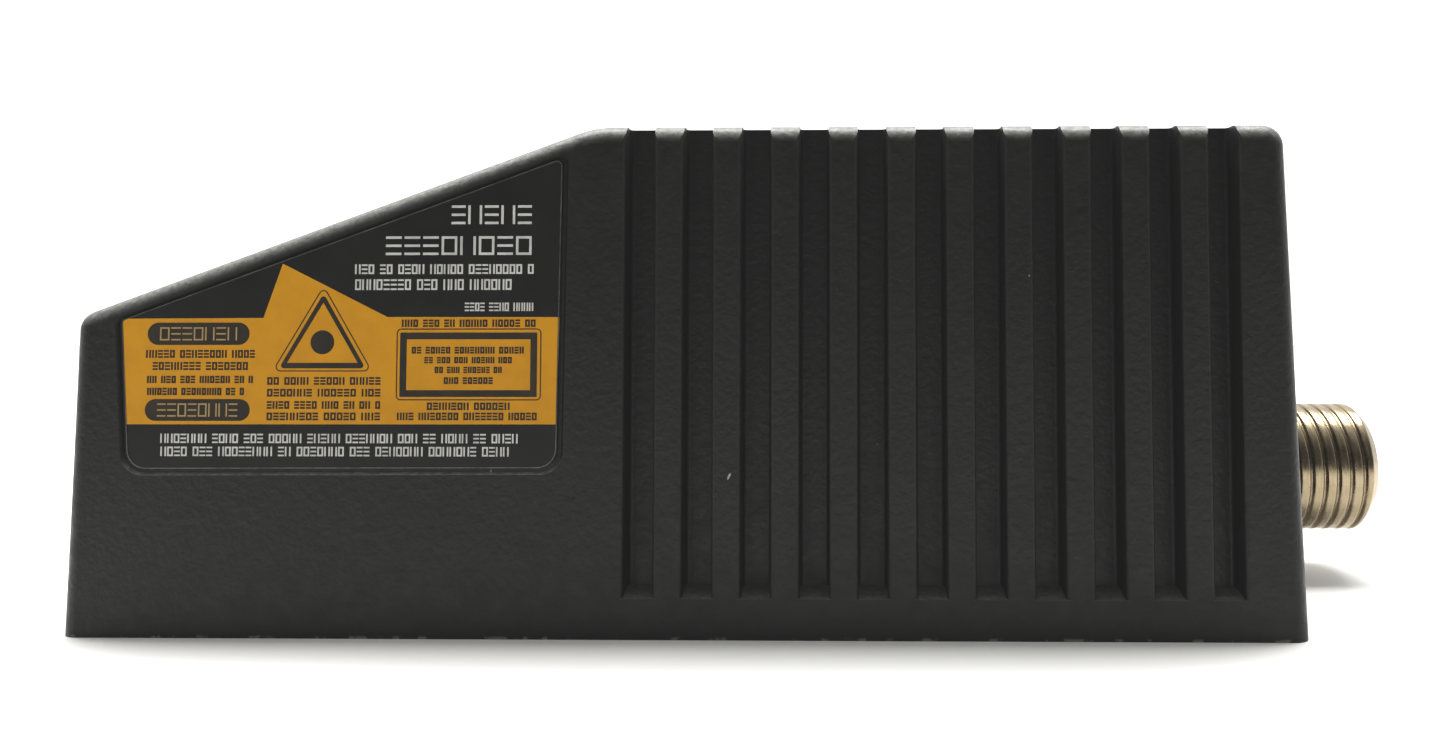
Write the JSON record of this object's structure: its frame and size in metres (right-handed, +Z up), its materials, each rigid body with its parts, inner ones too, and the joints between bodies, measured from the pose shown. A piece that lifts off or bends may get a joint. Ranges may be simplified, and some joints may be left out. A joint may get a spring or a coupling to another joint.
{
  "type": "laser line scanner",
  "caption": "Compact sealed industrial laser scanner with a drafted die-cast housing, cooling grooves, sloped window, threaded cable connector and spinning polygon mirror.",
  "frame": {"origin": "centre of the mounting hole pattern on the flat bottom face", "axes": "+Z up out of the mounting face, +X towards the cable connector, the sloped light window faces -X and up, the printed label is on the -Y side"},
  "size_m": [0.1161, 0.05, 0.0417],
  "materials": {
    "housing": "black textured powder coat",
    "side_label": "printed polyester film, black, yellow and pale grey",
    "window": "deep red tinted, polished",
    "window_seal": "matte black adhesive foam",
    "base_plate": "black anodised, fine brushed",
    "base_gasket": "matte black",
    "base_screws": "black zinc",
    "mounting_inserts": "turned brass",
    "connector_shell": "nickel-gold plated brass",
    "connector_seal": "black o-ring",
    "connector_nut": "plated brass",
    "connector_insert": "black moulded",
    "connector_pins": "gold plated",
    "harness_wires": "pvc insulation in several colours",
    "light_pipes": "frosted clear acrylic",
    "indicator_leds": "diffused lens",
    "indicator_board": "green solder mask",
    "optics_chassis": "black anodised die casting",
    "chassis_screws": "zinc plated",
    "fold_mirror": "front-silvered glass",
    "fold_mirror_clips": "spring steel",
    "collecting_mirror": "aluminised moulding",
    "pickoff_mirror": "front-silvered glass",
    "laser_barrel": "turned brass",
    "laser_diode": "gold-flashed can",
    "collimator_lens": "coated glass",
    "laser_clamp": "spring steel",
    "laser_driver_board": "green solder mask",
    "detector_board": "green solder mask",
    "detector_screw": "zinc plated",
    "photodiode": "clear-faced package",
    "optical_filter": "red interference filter",
    "motor_base": "steel-backed circuit plate",
    "motor_screws": "zinc plated",
    "bearing_sleeve": "turned brass",
    "bearing_outer_races": "ground steel",
    "bearing_inner_races": "ground steel",
    "bearing_balls": "polished steel",
    "stator_core": "laminated silicon steel",
    "stator_coils": "enamelled copper wire",
    "rotor_cup": "drawn steel",
    "rotor_magnet": "bonded ferrite",
    "motor_shaft": "ground steel",
    "polygon_mirror": "diamond-turned aluminium",
    "polygon_clamp": "spring steel",
    "retaining_ring": "black spring steel",
    "motor_flex": "polyimide ribbon",
    "flex_socket": "natural nylon",
    "main_board": "green solder mask",
    "board_standoffs": "hexagon brass",
    "board_screws": "zinc plated",
    "board_chips": "epoxy packages",
    "capacitors": "aluminium cans",
    "voltage_regulator": "epoxy with steel tab",
    "thermal_pad": "grey silicone",
    "pin_header": "natural nylon",
    "signal_board": "green solder mask",
    "signal_chips": "epoxy packages",
    "board_socket": "black moulded"
  },
  "bodies": {
    "scanner_body": {"housing": "housing", "side_label": "side_label", "window": "window", "window_seal": "window_seal", "base_plate": "base_plate", "base_gasket": "base_gasket", "base_screws": "base_screws", "mounting_inserts": "mounting_inserts", "connector_shell": "connector_shell", "connector_seal": "connector_seal", "connector_nut": "connector_nut", "connector_insert": "connector_insert", "connector_pins": "connector_pins", "harness_wires": "harness_wires", "light_pipes": "light_pipes", "indicator_leds": "indicator_leds", "indicator_board": "indicator_board", "optics_chassis": "optics_chassis", "chassis_screws": "chassis_screws", "fold_mirror": "fold_mirror", "fold_mirror_clips": "fold_mirror_clips", "collecting_mirror": "collecting_mirror", "pickoff_mirror": "pickoff_mirror", "laser_barrel": "laser_barrel", "laser_diode": "laser_diode", "collimator_lens": "collimator_lens", "laser_clamp": "laser_clamp", "laser_driver_board": "laser_driver_board", "detector_board": "detector_board", "detector_screw": "detector_screw", "photodiode": "photodiode", "optical_filter": "optical_filter", "motor_base": "motor_base", "motor_screws": "motor_screws", "bearing_sleeve": "bearing_sleeve", "bearing_outer_races": "bearing_outer_races", "bearing_balls": "bearing_balls", "stator_core": "stator_core", "stator_coils": "stator_coils", "motor_flex": "motor_flex", "flex_socket": "flex_socket", "main_board": "main_board", "board_standoffs": "board_standoffs", "board_screws": "board_screws", "board_chips": "board_chips", "capacitors": "capacitors", "voltage_regulator": "voltage_regulator", "thermal_pad": "thermal_pad", "pin_header": "pin_header", "signal_board": "signal_board", "signal_chips": "signal_chips", "board_socket": "board_socket"},
    "polygon_rotor": {"rotor_cup": "rotor_cup", "rotor_magnet": "rotor_magnet", "motor_shaft": "motor_shaft", "polygon_mirror": "polygon_mirror", "polygon_clamp": "polygon_clamp", "retaining_ring": "retaining_ring", "bearing_inner_races": "bearing_inner_races"}
  },
  "joints": [
    {"name": "polygon_spin", "type": "hinge", "parent": "scanner_body", "child": "polygon_rotor", "pos_m": [0.008, 0, 0.0228], "axis": [0, 0, 1], "continuous": true}
  ]
}
